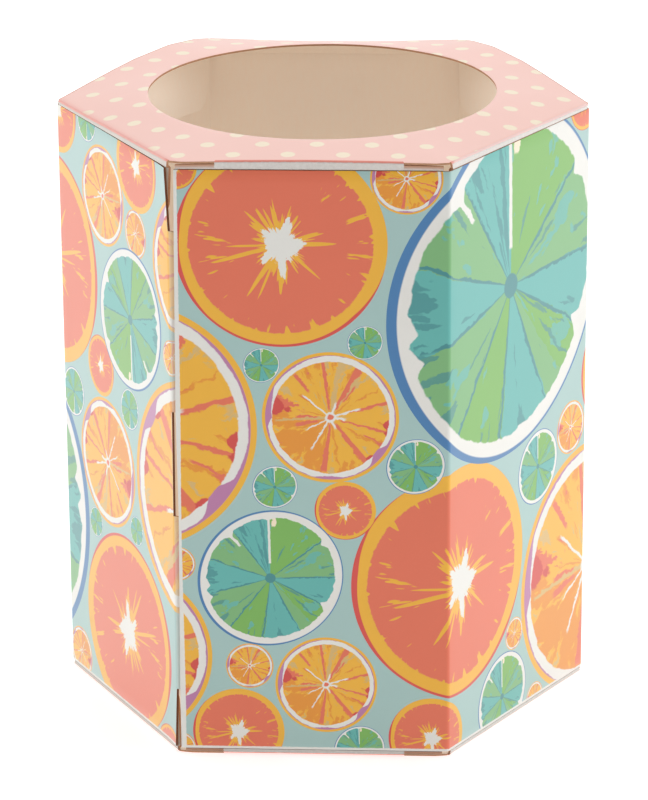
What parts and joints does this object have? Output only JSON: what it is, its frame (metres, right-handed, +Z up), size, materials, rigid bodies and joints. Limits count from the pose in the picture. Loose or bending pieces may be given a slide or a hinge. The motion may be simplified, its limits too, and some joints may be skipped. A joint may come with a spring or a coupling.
{
  "type": "hexagonal folding carton with round opening",
  "caption": "Six-sided printed paperboard carton with a round opening in its hinged tuck-in lid and a matching tuck-in base.",
  "frame": {"origin": "centre of the base, on the surface it stands on", "axes": "+Z up, through the round opening; -Y towards the front wall, +X to the right; the lid and base creases run along X at the back"},
  "size_m": [0.1, 0.0866, 0.1135],
  "materials": {
    "printed_wall": "uncoated satin citrus-slice print on white board",
    "dotted_print": "pink print with cream polka dots on white board",
    "bare_board": "unprinted white paperboard",
    "adhesive": "dried carton adhesive film"
  },
  "bodies": {
    "tube": {"front_wall": "printed_wall", "right_front_wall": "printed_wall", "right_back_wall": "printed_wall", "back_wall": "printed_wall", "left_back_wall": "printed_wall", "left_front_wall": "printed_wall", "seam_tab_upper": "bare_board", "seam_tab_lower": "bare_board", "seam_glue_upper": "adhesive", "seam_glue_lower": "adhesive"},
    "lid": {"lid_panel": "dotted_print"},
    "base": {"base_panel": "dotted_print"},
    "lid_tuck_flap": {"lid_tuck_flap": "bare_board"},
    "lid_flap_right_front": {"lid_flap_right_front": "bare_board"},
    "lid_flap_right_back": {"lid_flap_right_back": "bare_board"},
    "lid_flap_left_back": {"lid_flap_left_back": "bare_board"},
    "lid_flap_left_front": {"lid_flap_left_front": "bare_board"},
    "base_tuck_flap": {"base_tuck_flap": "bare_board"},
    "base_flap_right_front": {"base_flap_right_front": "bare_board"},
    "base_flap_right_back": {"base_flap_right_back": "bare_board"},
    "base_flap_left_back": {"base_flap_left_back": "bare_board"},
    "base_flap_left_front": {"base_flap_left_front": "bare_board"}
  },
  "joints": [
    {"name": "lid_hinge", "type": "hinge", "parent": "tube", "child": "lid", "pos_m": [0, 0.04332, 0.11305], "axis": [-1, 0, 0], "range_deg": [0, 180]},
    {"name": "base_hinge", "type": "hinge", "parent": "tube", "child": "base", "pos_m": [0, 0.04332, 0.00045], "axis": [1, 0, 0], "range_deg": [0, 180]},
    {"name": "lid_tuck_flap_fold", "type": "hinge", "parent": "lid", "child": "lid_tuck_flap", "pos_m": [0, -0.04224, 0.11305], "axis": [1, 0, 0], "range_deg": [0, 40], "stiffness_Nm_per_rad": 0.0001, "springref_deg": -68.75},
    {"name": "lid_flap_right_front_fold", "type": "hinge", "parent": "lid", "child": "lid_flap_right_front", "pos_m": [0.03658, -0.02112, 0.11305], "axis": [0.5, 0.866, 0], "range_deg": [0, 40], "stiffness_Nm_per_rad": 0.0001, "springref_deg": -68.75},
    {"name": "lid_flap_right_back_fold", "type": "hinge", "parent": "lid", "child": "lid_flap_right_back", "pos_m": [0.03658, 0.02112, 0.11305], "axis": [-0.5, 0.866, 0], "range_deg": [0, 40], "stiffness_Nm_per_rad": 0.0001, "springref_deg": -68.75},
    {"name": "lid_flap_left_back_fold", "type": "hinge", "parent": "lid", "child": "lid_flap_left_back", "pos_m": [-0.03658, 0.02112, 0.11305], "axis": [-0.5, -0.866, 0], "range_deg": [0, 40], "stiffness_Nm_per_rad": 0.0001, "springref_deg": -68.75},
    {"name": "lid_flap_left_front_fold", "type": "hinge", "parent": "lid", "child": "lid_flap_left_front", "pos_m": [-0.03658, -0.02112, 0.11305], "axis": [0.5, -0.866, 0], "range_deg": [0, 40], "stiffness_Nm_per_rad": 0.0001, "springref_deg": -68.75},
    {"name": "base_tuck_flap_fold", "type": "hinge", "parent": "base", "child": "base_tuck_flap", "pos_m": [0, -0.04224, 0.00045], "axis": [-1, 0, 0], "range_deg": [0, 40], "stiffness_Nm_per_rad": 0.0001, "springref_deg": -68.75},
    {"name": "base_flap_right_front_fold", "type": "hinge", "parent": "base", "child": "base_flap_right_front", "pos_m": [0.03658, -0.02112, 0.00045], "axis": [-0.5, -0.866, 0], "range_deg": [0, 40], "stiffness_Nm_per_rad": 0.0001, "springref_deg": -68.75},
    {"name": "base_flap_right_back_fold", "type": "hinge", "parent": "base", "child": "base_flap_right_back", "pos_m": [0.03658, 0.02112, 0.00045], "axis": [0.5, -0.866, 0], "range_deg": [0, 40], "stiffness_Nm_per_rad": 0.0001, "springref_deg": -68.75},
    {"name": "base_flap_left_back_fold", "type": "hinge", "parent": "base", "child": "base_flap_left_back", "pos_m": [-0.03658, 0.02112, 0.00045], "axis": [0.5, 0.866, 0], "range_deg": [0, 40], "stiffness_Nm_per_rad": 0.0001, "springref_deg": -68.75},
    {"name": "base_flap_left_front_fold", "type": "hinge", "parent": "base", "child": "base_flap_left_front", "pos_m": [-0.03658, -0.02112, 0.00045], "axis": [-0.5, 0.866, 0], "range_deg": [0, 40], "stiffness_Nm_per_rad": 0.0001, "springref_deg": -68.75}
  ]
}
